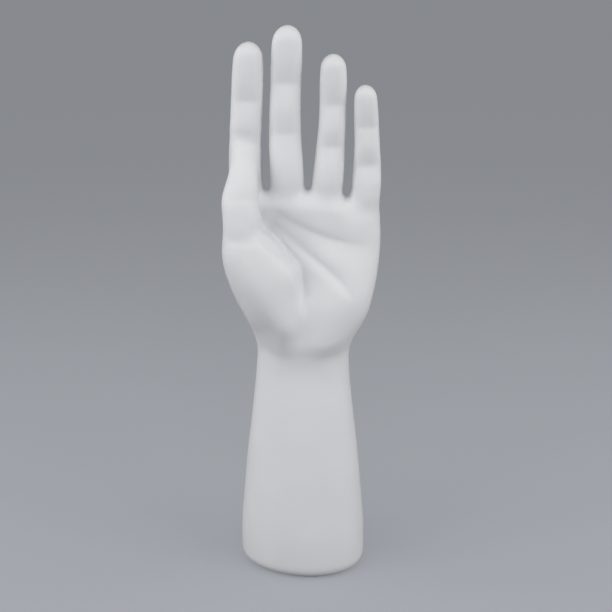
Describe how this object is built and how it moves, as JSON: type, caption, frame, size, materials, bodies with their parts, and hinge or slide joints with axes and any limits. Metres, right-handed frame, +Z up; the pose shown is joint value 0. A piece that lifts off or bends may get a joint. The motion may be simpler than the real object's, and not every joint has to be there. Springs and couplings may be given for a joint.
{
  "type": "hand jewelry display stand",
  "caption": "White moulded hand with a forearm foot that stands upright and holds rings on its fingers and bracelets or watches at its wrist.",
  "frame": {"origin": "centre of the flat underside of the forearm, where the hand stands", "axes": "+Z up the forearm to the fingertips, the palm faces -Y, the thumb is on the -X side"},
  "size_m": [0.0843, 0.0608, 0.2995],
  "materials": {
    "white_vinyl": "matte white moulded vinyl"
  },
  "bodies": {
    "root": {"display_hand": "white_vinyl"}
  },
  "joints": []
}
